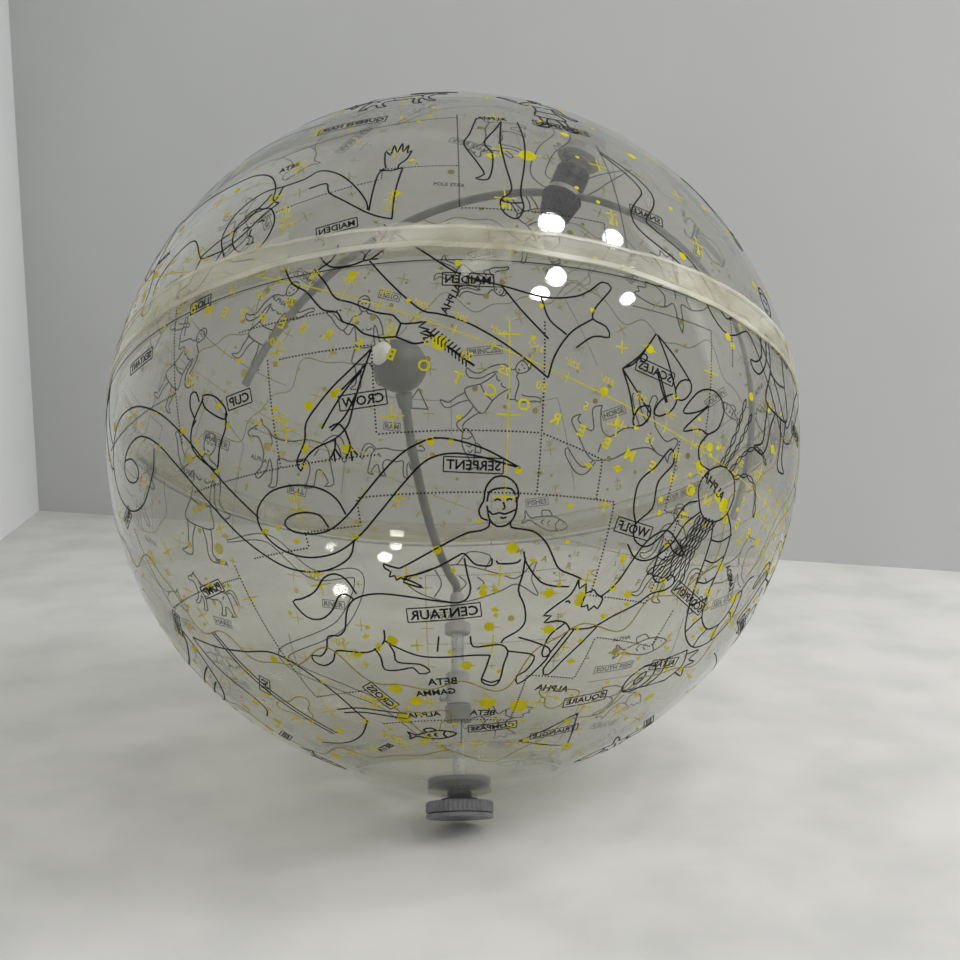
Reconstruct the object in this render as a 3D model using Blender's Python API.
"""Celestial globe: a clear two-part sphere with a polar drive and an ecliptic drive inside it.

The globe frame has its origin at the sphere's centre and +Z at the north celestial pole. A tilted
empty holds that frame, so that the globe lies on the bottom of its shell and on its polar knob.
Distances along the polar axis, and along the ecliptic axis, are counted from the centre.
"""
import math

import bmesh
import bpy
from mathutils import Matrix, Vector

MM = 0.001
GAP = 0.3                       # between pieces that touch

# sphere
BALL_R = 152.4                  # outer radius of a 12 inch globe
WALL = 2.0
SEGMENTS = 40                   # facets round the polar axis
OPENING_R = 41.0                # opening at the south pole, closed by the polar cap
LIP_H = 4.0                     # locating lip inside the seam
LIP_T = 1.8
LIP_PLAY = 0.5                  # between the lip and the inside of the northern half
LEDGE_Z = -3.0                  # where the lip grows out of the southern half
SOUTH_ROWS = 8
NORTH_ROWS = 11

# polar cap and what is clamped in it
CAP_RIM_R = 43.2
CAP_RIM_S = 147.15
CAP_TOP_S = 157.7
CAP_WALL = 2.3
CAP_DOME_R = 107.0
SPIGOT_R = 40.6
SPIGOT_T = 2.0
SPIGOT_IN_S = 137.4
SHAFT_R = 2.5
SHAFT_BORE_R = SHAFT_R + GAP
BUSH_R = 5.0
BUSH_S = (155.4, 157.8)
CLAMP_R = 13.0
CLAMP_S = (149.8, 151.8)
FRICTION_S = (152.1, 153.9)     # flat faces of the friction washer
FRICTION_SHOULDER = (9.0, 154.4)
FRICTION_TOP_S = 155.0

# polar knob
KNOB_WASHER_R = 7.5
KNOB_WASHER_S = (158.1, 158.9)
KNOB_FLUTE = 0.6
KNOB_R = 13.8
KNOB_S = (159.2, 163.9)
KNOB_TEETH = 36
FACE_R = 13.7
FACE_S = (164.2, 165.7)

# inner stem
SPINDLE_S = (114.5, 163.7)
TUBE_R = 2.7
TUBE_S = (86.5, 114.0)
SLEEVE_BORE_R = TUBE_R + GAP
SLEEVE_R = 5.0
SLEEVE_S = (106.4, 120.0)
SET_COLLAR_R = 5.6
SET_COLLAR_S = (120.3, 127.2)
SCREW_S = 116.5
SCREW_HOLE_R = 1.6
SCREW_TIP = (1.2, 3.1)          # radius, and distance of the tip from the axis
SCREW_HEAD_R = 2.2
SCREW_HEAD_REACH = (5.4, 8.0)
STEM_COLLAR_R = 5.5
STEM_COLLAR_S = (84.9, 89.8)
SOCKET_S = (71.7, 84.6)
SOCKET_R = 3.2
SOCKET_TIP_R = 2.6
SOCKET_TAPER_S = 74.5
SOCKET_FLOOR_S = 79.8

# curved arm, in the half-plane that holds the polar axis
ARM_LONGITUDE = -102.7          # degrees from +X
ARM_R = 101.0
ARM_CENTRE_Z = 33.0
ARM_END_DEG = 57.0              # where the arc ends and the last straight starts
ARM_STRAIGHT = 17.0             # from there to the ball's centre
ROD_R = 1.8
ROD_START_S = 79.4
BEND_R = 3.4                    # tight bend between the socket and the arc
BALL_KNOB_R = 10.3
FERRULE_R = 3.3
FERRULE_TIP_R = 2.6
FERRULE_LENGTH = 5.5
FERRULE_CAP = 1.2               # solid end of the ferrule, between rod and ball
STUD_LONGITUDE = -131.3
STUD_LATITUDE = 7.9

# ecliptic drive
HUB_TILT = 25.3                 # ecliptic axis from the polar axis
HUB_LONGITUDE = -20.3
BOW_TURN = 174.7                # bow's plane, from the hub's own meridian
BOW_R = 135.2
BOW_W = 4.7
BOW_T = 1.6
HUB_HOLE_R = 5.0
HUB_BUSH_R = 4.6
HUB_FLANGE_R = 7.5
HUB_BUSH_S = (149.2, 152.9, 154.0)      # inner end, under the flange, outer end
HUB_KNOB_R = 11.0
HUB_KNOB_S = (154.4, 159.8)
HUB_SHAFT_S = (122.8, 157.3)
POST_R = 8.5
POST_S = (136.8, 148.4)
DISC_R = 8.6
DISC_S = (134.1, 136.5)
NUT_R = (7.6, 10.2)             # at its lower and upper end
NUT_S = (122.0, 133.8)
NUT_FLUTE = 0.5
NUT_TEETH = 28

# tape over the seam
TAPE_LATITUDES = (-1.8, 5.3)
TAPE_T = 0.5
TAPE_END_LONGITUDE = -80.5
TAPE_END_DEG = 6.0              # how far round the free end reaches
TAPE_END_LIFT = 4.0
TAPE_END_Z = (-3.5, 5.0)
TAPE_END_TAPER = 4.0


def clear_scene():
    for item in list(bpy.data.objects):
        bpy.data.objects.remove(item, do_unlink=True)


def material(name, color, roughness, metallic=0.0, alpha=1.0):
    made = bpy.data.materials.new(name)
    made.use_nodes = True
    shader = made.node_tree.nodes["Principled BSDF"]
    shader.inputs["Base Color"].default_value = (*color, 1.0)
    shader.inputs["Roughness"].default_value = roughness
    shader.inputs["Metallic"].default_value = metallic
    shader.inputs["Alpha"].default_value = alpha
    return made


def add_object(name, mesh, finish, parent):
    piece = bpy.data.objects.new(name, mesh)
    bpy.context.scene.collection.objects.link(piece)
    mesh.materials.append(finish)
    piece.parent = parent
    return piece


def mesh_piece(name, bm, finish, parent, smooth_deg=35.0):
    bmesh.ops.recalc_face_normals(bm, faces=bm.faces)
    bmesh.ops.scale(bm, verts=bm.verts, vec=(MM, MM, MM))
    mesh = bpy.data.meshes.new(name)
    bm.to_mesh(mesh)
    bm.free()
    mesh.shade_smooth()
    mesh.set_sharp_from_angle(angle=math.radians(smooth_deg))
    return add_object(name, mesh, finish, parent)


def ring(bm, radius, z, sides, phase):
    """One loop of vertices round Z, or the single vertex that it shrinks to on the axis."""
    if radius < 1e-6:
        return [bm.verts.new((0, 0, z))]
    step = math.tau / sides
    return [
        bm.verts.new((radius * math.cos(phase + k * step), radius * math.sin(phase + k * step), z))
        for k in range(sides)
    ]


def skin(bm, low, high):
    """Faces between two loops, either of which may be a single vertex."""
    sides = max(len(low), len(high))
    for k in range(sides):
        after = (k + 1) % sides
        if len(low) == 1:
            bm.faces.new((low[0], high[k], high[after]))
        elif len(high) == 1:
            bm.faces.new((low[k], low[after], high[0]))
        else:
            bm.faces.new((low[k], low[after], high[after], high[k]))


def turned(name, profile, finish, parent, sides=32, phase=0.0):
    """A solid of revolution about Z. The profile is a list of (radius, z).

    It closes on itself where no point is on the axis, and on the axis where its two ends are.
    """
    bm = bmesh.new()
    loops = [ring(bm, r, z, sides, phase) for r, z in profile]
    for low, high in zip(loops, loops[1:]):
        skin(bm, low, high)
    if len(loops[0]) > 1:
        skin(bm, loops[-1], loops[0])
    return mesh_piece(name, bm, finish, parent)


def tube_profile(outer, inner, z0, z1, chamfer=0.0):
    """The four sides of a plain bored collar, its outer corners cut by the chamfer."""
    if chamfer == 0.0:
        return [(outer, z0), (outer, z1), (inner, z1), (inner, z0)]
    return [
        (outer - chamfer, z0), (outer, z0 + chamfer), (outer, z1 - chamfer), (outer - chamfer, z1),
        (inner, z1), (inner, z0),
    ]


def fluted(name, size, levels, teeth, bore, finish, parent):
    """A knurled ring: size is (low radius, high radius, depth of the flutes), levels are its two z."""
    low_r, high_r, depth = size
    sides = 2 * teeth
    step = math.tau / sides
    bm = bmesh.new()

    def loop(radius, z, groove):
        made = []
        for k in range(sides):
            r = radius - (groove if k % 2 else 0.0)
            made.append(bm.verts.new((r * math.cos(k * step), r * math.sin(k * step), z)))
        return made

    loops = [loop(low_r, levels[0], depth), loop(high_r, levels[1], depth)]
    loops += [loop(bore, levels[1], 0.0), loop(bore, levels[0], 0.0)]
    for low, high in zip(loops, loops[1:] + loops[:1]):
        skin(bm, low, high)
    return mesh_piece(name, bm, finish, parent, smooth_deg=20.0)


def sphere_arc(radius, start_deg, end_deg, steps):
    """(radius, z) points on a sphere, from one latitude to another."""
    angles = [start_deg + (end_deg - start_deg) * k / steps for k in range(steps + 1)]
    return [(radius * math.cos(math.radians(a)), radius * math.sin(math.radians(a))) for a in angles]


def south(levels):
    """Distances from the centre towards the south pole, as z values in rising order."""
    return tuple(-s for s in reversed(levels))


# --- the rest pose -------------------------------------------------------------------------------

REST_BAND_DEG = 7.5             # the facet that the globe lies on, measured along the meridian


def rest_pose():
    """The polar axis's tilt, and the centre's height, with the lowest facet and the knob at z = 0."""
    reach = math.hypot(FACE_S[1], FACE_R)
    height = BALL_R * math.cos(math.radians(REST_BAND_DEG / 2))
    for _ in range(8):
        tilt = math.acos(height / reach) + math.atan2(FACE_R, FACE_S[1])
        edge = tilt + math.radians(REST_BAND_DEG / 2)
        side = math.cos(math.pi / SEGMENTS)
        height = BALL_R * (math.sin(tilt) * math.sin(edge) * side + math.cos(tilt) * math.cos(edge))
    return tilt, height


def facing_rest_side():
    """Phase that turns the middle of a facet, and not a corner, to the side that the globe lies on."""
    return math.radians(90) + math.pi / SEGMENTS


def shell_latitudes(tilt_deg):
    """South hemisphere's rows of vertices: one row on each side of the lowest facet, the rest even."""
    opening = math.degrees(math.asin(OPENING_R / BALL_R))
    before = tilt_deg - REST_BAND_DEG / 2
    after = tilt_deg + REST_BAND_DEG / 2
    step = (90.0 - after) / SOUTH_ROWS
    return [opening, before] + [after + step * k for k in range(SOUTH_ROWS + 1)]


# --- sphere --------------------------------------------------------------------------------------

def shell_points(radius, colatitudes, pole_sign, seam_z):
    """(radius, z) at each colatitude from a pole, the last one moved to the seam's height."""
    points = []
    for angle in colatitudes[:-1]:
        a = math.radians(angle)
        points.append((radius * math.sin(a), pole_sign * radius * math.cos(a)))
    points.append((math.sqrt(radius ** 2 - seam_z ** 2), seam_z))
    return points


def south_hemisphere(tilt_deg, clear, parent):
    rows = shell_latitudes(tilt_deg)
    seam = -GAP / 2
    inner_r = BALL_R - WALL
    lip_r = inner_r - LIP_PLAY
    outer = shell_points(BALL_R, rows, -1, seam)
    inner = shell_points(inner_r, rows, -1, LEDGE_Z)
    inner[0] = (OPENING_R, -math.sqrt(inner_r ** 2 - OPENING_R ** 2))
    lip = [(lip_r, seam), (lip_r, LIP_H), (lip_r - LIP_T, LIP_H), (lip_r - LIP_T, LEDGE_Z)]
    profile = outer + lip + list(reversed(inner))
    turned("south_hemisphere", profile, clear, parent, SEGMENTS, facing_rest_side())


def north_hemisphere(clear, parent, hub_axis):
    rows = [90.0 * k / NORTH_ROWS for k in range(NORTH_ROWS + 1)]
    outer = shell_points(BALL_R, rows, 1, GAP / 2)
    inner = shell_points(BALL_R - WALL, rows, 1, GAP / 2)
    profile = outer + list(reversed(inner))
    profile[0] = (0.0, BALL_R)
    profile[-1] = (0.0, BALL_R - WALL)
    shell = turned("north_hemisphere", profile, clear, parent, SEGMENTS, facing_rest_side())
    cutter = turned(
        "hub_hole_cutter", [(0.0, 140.0), (HUB_HOLE_R, 140.0), (HUB_HOLE_R, 165.0), (0.0, 165.0)],
        clear, hub_axis, 24,
    )
    cutter.hide_render = True
    cutter.display_type = "WIRE"
    hole = shell.modifiers.new("hub_hole", "BOOLEAN")
    hole.operation = "DIFFERENCE"
    hole.solver = "EXACT"
    hole.object = cutter


def seam_tape(film, parent):
    inner_r = BALL_R + GAP + 0.05
    inner = sphere_arc(inner_r, *TAPE_LATITUDES, 3)
    outer = sphere_arc(inner_r + TAPE_T, *TAPE_LATITUDES, 3)
    turned("seam_tape", inner + list(reversed(outer)), film, parent, SEGMENTS, facing_rest_side())


def tape_loose_end(film, parent):
    """The tape's free corner, which lifts off the band and curls outwards."""
    bm = bmesh.new()
    steps = 8
    start_r = BALL_R + TAPE_T + 2 * GAP + 0.2
    loops = []
    for k in range(steps + 1):
        t = k / steps
        angle = math.radians(TAPE_END_LONGITUDE + TAPE_END_DEG * t)
        lift = TAPE_END_LIFT * t ** 2
        low = TAPE_END_Z[0]
        high = TAPE_END_Z[1] - TAPE_END_TAPER * t
        loop = []
        for z, r in ((low, 0.0), (high, 0.0), (high, TAPE_T), (low, TAPE_T)):
            reach = start_r + lift + r
            loop.append(bm.verts.new((reach * math.cos(angle), reach * math.sin(angle), z)))
        loops.append(loop)
    for low, high in zip(loops, loops[1:]):
        skin(bm, low, high)
    bm.faces.new(loops[0])
    bm.faces.new(loops[-1])
    mesh_piece("tape_loose_end", bm, film, parent)


def polar_cap(clear, parent):
    """Domed plug with a rim on the shell and a spigot inside the opening."""
    def dome(radius, top, count, start_r, end_r):
        centre = top - radius
        rs = [start_r + (end_r - start_r) * k / count for k in range(count + 1)]
        return [(r, -(centre + math.sqrt(radius ** 2 - r ** 2))) for r in rs]

    hole_r = BUSH_R + GAP
    spigot_in = SPIGOT_R - SPIGOT_T
    outer = dome(CAP_DOME_R, CAP_TOP_S, 6, hole_r, CAP_RIM_R)
    inner = dome(CAP_DOME_R - CAP_WALL, CAP_TOP_S - CAP_WALL, 5, spigot_in, hole_r)
    rim = [(CAP_RIM_R, -CAP_RIM_S), (SPIGOT_R, -CAP_RIM_S)]
    spigot = [(SPIGOT_R, -SPIGOT_IN_S), (spigot_in, -SPIGOT_IN_S)]
    turned("polar_cap", outer + rim + spigot + inner, clear, parent, SEGMENTS, facing_rest_side())


# --- polar drive ---------------------------------------------------------------------------------

def clamp_stack(grey, dark, parent, root):
    """The bush in the cap, and the disc and washer that grip the cap from inside."""
    bush = tube_profile(BUSH_R, SHAFT_BORE_R, *south(BUSH_S))
    turned("polar_bush", bush, dark, root, 24)
    disc = tube_profile(CLAMP_R, SHAFT_BORE_R, *south(CLAMP_S), chamfer=0.5)
    turned("clamp_disc", disc, grey, parent, 40)
    high, low = FRICTION_S
    shoulder_r, shoulder = FRICTION_SHOULDER
    washer = [
        (SHAFT_BORE_R, -high), (CLAMP_R, -high), (CLAMP_R, -low), (shoulder_r, -shoulder),
        (SHAFT_BORE_R, -FRICTION_TOP_S),
    ]
    turned("friction_washer", washer, dark, parent, 40)


def polar_knob(grey, dark, parent):
    washer = tube_profile(KNOB_WASHER_R, SHAFT_BORE_R, *south(KNOB_WASHER_S))
    turned("knob_washer", washer, dark, parent, 32)
    size = (KNOB_R, KNOB_R, KNOB_FLUTE)
    fluted("polar_knob", size, south(KNOB_S), KNOB_TEETH, SHAFT_BORE_R, dark, parent)
    low, high = south(FACE_S)
    face = [(0.0, low), (FACE_R - 0.01, low), (FACE_R, low + 0.01), (FACE_R, high), (0.0, high)]
    # a flat side, not a corner, is under the knob in the rest pose
    turned("polar_knob_face", face, grey, parent, 32, math.radians(90) + math.pi / 32)


def stem(steel, grey, dark, parent):
    """Spindle, sleeve, set screw, tube, collar and the socket that holds the arm."""
    low, high = south(SPINDLE_S)
    spindle = [(0.0, low), (SHAFT_R, low), (SHAFT_R, high), (0.0, high)]
    turned("polar_spindle", spindle, steel, parent, 24)
    sleeve = turned(
        "stem_sleeve", tube_profile(SLEEVE_R, SLEEVE_BORE_R, *south(SLEEVE_S), chamfer=0.4),
        grey, parent, 24,
    )
    across = Matrix.Translation((0, 0, -SCREW_S)) @ Matrix.Rotation(math.radians(-90), 4, "Y")
    inner, outer = 0.5, SCREW_HEAD_REACH[1]
    cutter = turned(
        "set_screw_hole_cutter",
        [(0.0, inner), (SCREW_HOLE_R, inner), (SCREW_HOLE_R, outer), (0.0, outer)], grey, parent, 16,
    )
    cutter.data.transform(scaled_to_metres(across))
    cutter.hide_render = True
    cutter.display_type = "WIRE"
    hole = sleeve.modifiers.new("set_screw_hole", "BOOLEAN")
    hole.operation = "DIFFERENCE"
    hole.solver = "EXACT"
    hole.object = cutter
    tip_r, tip = SCREW_TIP
    under, top = SCREW_HEAD_REACH
    bevel = 0.6
    screw = turned(
        "set_screw",
        [(0.0, tip), (tip_r, tip), (tip_r, under), (SCREW_HEAD_R, under), (SCREW_HEAD_R, top - bevel),
         (SCREW_HEAD_R - bevel, top), (0.0, top)],
        steel, parent, 20,
    )
    screw.data.transform(scaled_to_metres(across))
    collar = tube_profile(SET_COLLAR_R, SHAFT_BORE_R, *south(SET_COLLAR_S), chamfer=0.5)
    turned("set_collar", collar, dark, parent, 28)
    low, high = south(TUBE_S)
    tube = [(0.0, low), (TUBE_R, low), (TUBE_R, high), (0.0, high)]
    turned("stem_tube", tube, steel, parent, 24)
    blind = south(STEM_COLLAR_S)
    floor = high + GAP
    cup = [
        (0.0, floor), (SLEEVE_BORE_R, floor), (SLEEVE_BORE_R, blind[0]), (STEM_COLLAR_R - 0.5, blind[0]),
        (STEM_COLLAR_R, blind[0] + 0.5), (STEM_COLLAR_R, blind[1] - 0.5),
        (STEM_COLLAR_R - 0.5, blind[1]), (0.0, blind[1]),
    ]
    turned("stem_collar", cup, grey, parent, 28)
    bore = ROD_R + GAP
    top, base = SOCKET_S
    socket = [
        (0.0, -base), (SOCKET_R, -base), (SOCKET_R, -SOCKET_TAPER_S), (SOCKET_TIP_R, -top), (bore, -top),
        (bore, -SOCKET_FLOOR_S), (0.0, -SOCKET_FLOOR_S),
    ]
    turned("arm_socket", socket, grey, parent, 24)


def scaled_to_metres(matrix):
    """The same placement for a mesh that is already in metres."""
    made = matrix.copy()
    made.translation = matrix.translation * MM
    return made


def arm_point(angle_deg):
    """(distance from the axis, z) at an angle round the arm's arc, counted from its lowest point."""
    a = math.radians(angle_deg)
    return ARM_R * math.sin(a), ARM_CENTRE_Z - ARM_R * math.cos(a)


def arm_line(distance):
    """(distance from the axis, z) on the straight that leads from the arc to the ball."""
    a = math.radians(ARM_END_DEG)
    x, z = arm_point(ARM_END_DEG)
    return x + distance * math.cos(a), z + distance * math.sin(a)


def arm_rod(steel, parent):
    """Steel rod: up out of its socket, round a tight bend and along the big arc to the ball."""
    start_deg = math.degrees(math.asin(BEND_R / ARM_R))
    bend_top = arm_point(start_deg)[1]
    points = [(0.0, -ROD_START_S), (0.0, bend_top - BEND_R)]
    for k in range(1, 6):
        a = math.radians(90 * k / 6)
        points.append((BEND_R * (1 - math.cos(a)), bend_top - BEND_R * (1 - math.sin(a))))
    steps = 16
    points += [arm_point(start_deg + (ARM_END_DEG - start_deg) * k / steps) for k in range(steps + 1)]
    points.append(arm_line(ARM_STRAIGHT - BALL_KNOB_R - FERRULE_CAP - 2 * GAP))
    curve = bpy.data.curves.new("arm_rod", "CURVE")
    curve.dimensions = "3D"
    curve.bevel_depth = ROD_R * MM
    curve.bevel_resolution = 3
    curve.use_fill_caps = True
    spline = curve.splines.new("POLY")
    spline.points.add(len(points) - 1)
    for point, (x, z) in zip(spline.points, points):
        point.co = (x * MM, 0.0, z * MM, 1.0)
    add_object("arm_rod", curve, steel, parent)


def arm_ball(dark, grey, chrome, parent, arm_plane):
    """The ball at the arm's end, its ferrule and the domed stud on its side."""
    x, z = arm_line(ARM_STRAIGHT)
    a = math.radians(ARM_LONGITUDE)
    centre = Vector((x * math.cos(a), x * math.sin(a), z))
    steps = 10
    profile = sphere_arc(BALL_KNOB_R, -90, 90, steps)
    profile[0] = (0.0, -BALL_KNOB_R)
    profile[-1] = (0.0, BALL_KNOB_R)
    ball = turned("arm_ball", profile, dark, parent, 24)
    ball.data.transform(Matrix.Translation(centre * MM))

    bore = ROD_R + GAP
    near = -(BALL_KNOB_R + GAP)
    far = near - FERRULE_LENGTH
    floor = near - FERRULE_CAP
    ferrule = turned(
        "ball_ferrule",
        [(0.0, near), (FERRULE_R, near), (FERRULE_TIP_R, far), (bore, far), (bore, floor), (0.0, floor)],
        grey, arm_plane, 20,
    )
    lean = Matrix.Rotation(math.radians(90 - ARM_END_DEG), 4, "Y")
    ferrule.data.transform(Matrix.Translation((x * MM, 0, z * MM)) @ lean)

    under = BALL_KNOB_R + GAP
    seat = [(under * math.sin(math.radians(d)), under * math.cos(math.radians(d))) for d in (0, 9, 18, 26)]
    dome = [(4.6, 10.9), (3.6, 12.1), (2.0, 12.9), (0.0, 13.2)]
    stud = turned("ball_stud", seat + dome, chrome, parent, 24)
    facing = Vector((1, 0, 0))
    facing.rotate(Matrix.Rotation(math.radians(-STUD_LATITUDE), 3, "Y"))
    facing.rotate(Matrix.Rotation(math.radians(STUD_LONGITUDE), 3, "Z"))
    turn = facing.to_track_quat("Z", "Y").to_matrix().to_4x4()
    stud.data.transform(Matrix.Translation(centre * MM) @ turn)


# --- ecliptic drive ------------------------------------------------------------------------------

def ecliptic_hub(navy, grey, steel, parent, bearing):
    """Outer knob, shaft, post, bow disc and knurled nut, all round the ecliptic axis."""
    inner, under, outer = HUB_BUSH_S
    bush = [
        (HUB_BUSH_R, inner), (HUB_BUSH_R, under), (HUB_FLANGE_R, under), (HUB_FLANGE_R, outer),
        (SHAFT_BORE_R, outer), (SHAFT_BORE_R, inner),
    ]
    turned("ecliptic_bush", bush, grey, bearing, 32)
    base, top = HUB_KNOB_S
    floor = HUB_SHAFT_S[1] + GAP
    knob = [
        (0.0, floor), (SHAFT_BORE_R, floor), (SHAFT_BORE_R, base), (HUB_KNOB_R - 0.4, base),
        (HUB_KNOB_R, base + 0.4), (HUB_KNOB_R, top - 2.4), (HUB_KNOB_R - 0.8, top - 1.0),
        (HUB_KNOB_R - 3.5, top), (0.0, top),
    ]
    turned("ecliptic_knob", knob, grey, parent, 40)
    low, high = HUB_SHAFT_S
    shaft = [(0.0, low), (SHAFT_R, low), (SHAFT_R, high), (0.0, high)]
    turned("ecliptic_shaft", shaft, steel, parent, 24)
    post = tube_profile(POST_R, SHAFT_BORE_R, *POST_S, chamfer=0.6)
    turned("ecliptic_post", post, navy, parent, 32)
    disc = tube_profile(DISC_R, SHAFT_BORE_R, *DISC_S)
    turned("bow_disc", disc, grey, parent, 32)
    fluted("ecliptic_nut", (*NUT_R, NUT_FLUTE), NUT_S, NUT_TEETH, SHAFT_BORE_R, navy, parent)


def bow_half(name, side, grey, parent):
    """A quarter circle of flat strip, from the hub's disc to the ecliptic."""
    start = math.degrees(math.asin((DISC_R + GAP + 0.1) / BOW_R))
    steps = 18
    bm = bmesh.new()
    loops = []
    for k in range(steps + 1):
        a = math.radians(start + (90.0 - start) * k / steps)
        loop = []
        for r, y in ((-1, -1), (1, -1), (1, 1), (-1, 1)):
            reach = BOW_R + r * BOW_T / 2
            loop.append(bm.verts.new((side * reach * math.sin(a), y * BOW_W / 2, reach * math.cos(a))))
        loops.append(loop)
    for low, high in zip(loops, loops[1:]):
        skin(bm, low, high)
    bm.faces.new(loops[0])
    bm.faces.new(loops[-1])
    mesh_piece(name, bm, grey, parent)


# --- assembly ------------------------------------------------------------------------------------

def empty(name, matrix, parent):
    made = bpy.data.objects.new(name, None)
    bpy.context.scene.collection.objects.link(made)
    made.parent = parent
    made.matrix_local = matrix
    return made


def build():
    clear_scene()
    clear = material("clear_plastic", (0.86, 0.86, 0.80), 0.08, alpha=0.25)
    film = material("tape_film", (0.80, 0.78, 0.66), 0.35, alpha=0.6)
    dark = material("dark_grey_plastic", (0.10, 0.10, 0.11), 0.45)
    grey = material("grey_plastic", (0.33, 0.34, 0.36), 0.40)
    navy = material("navy_plastic", (0.05, 0.05, 0.09), 0.40)
    steel = material("steel", (0.45, 0.47, 0.50), 0.35, metallic=0.8)
    chrome = material("bright_cap", (0.85, 0.86, 0.88), 0.18, metallic=0.9)

    tilt, height = rest_pose()
    lying = Matrix.Translation((0, 0, height * MM)) @ Matrix.Rotation(-tilt, 4, "X")
    globe_axis = empty("globe_axis", lying, None)
    hub_turn = (
        Matrix.Rotation(math.radians(HUB_LONGITUDE), 4, "Z")
        @ Matrix.Rotation(math.radians(HUB_TILT), 4, "Y")
        @ Matrix.Rotation(math.radians(BOW_TURN), 4, "Z")
    )
    ecliptic_axis = empty("ecliptic_axis", hub_turn, globe_axis)
    arm_plane = empty("arm_plane", Matrix.Rotation(math.radians(ARM_LONGITUDE), 4, "Z"), globe_axis)

    south_hemisphere(math.degrees(tilt), clear, globe_axis)
    north_hemisphere(clear, globe_axis, ecliptic_axis)
    seam_tape(film, globe_axis)
    tape_loose_end(film, globe_axis)
    polar_cap(clear, globe_axis)

    clamp_stack(grey, dark, globe_axis, globe_axis)
    polar_knob(grey, dark, globe_axis)
    stem(steel, grey, dark, globe_axis)
    arm_rod(steel, arm_plane)
    arm_ball(dark, grey, chrome, globe_axis, arm_plane)

    ecliptic_hub(navy, grey, steel, ecliptic_axis, ecliptic_axis)
    bow_half("bow_left", 1, grey, ecliptic_axis)
    bow_half("bow_right", -1, grey, ecliptic_axis)


build()
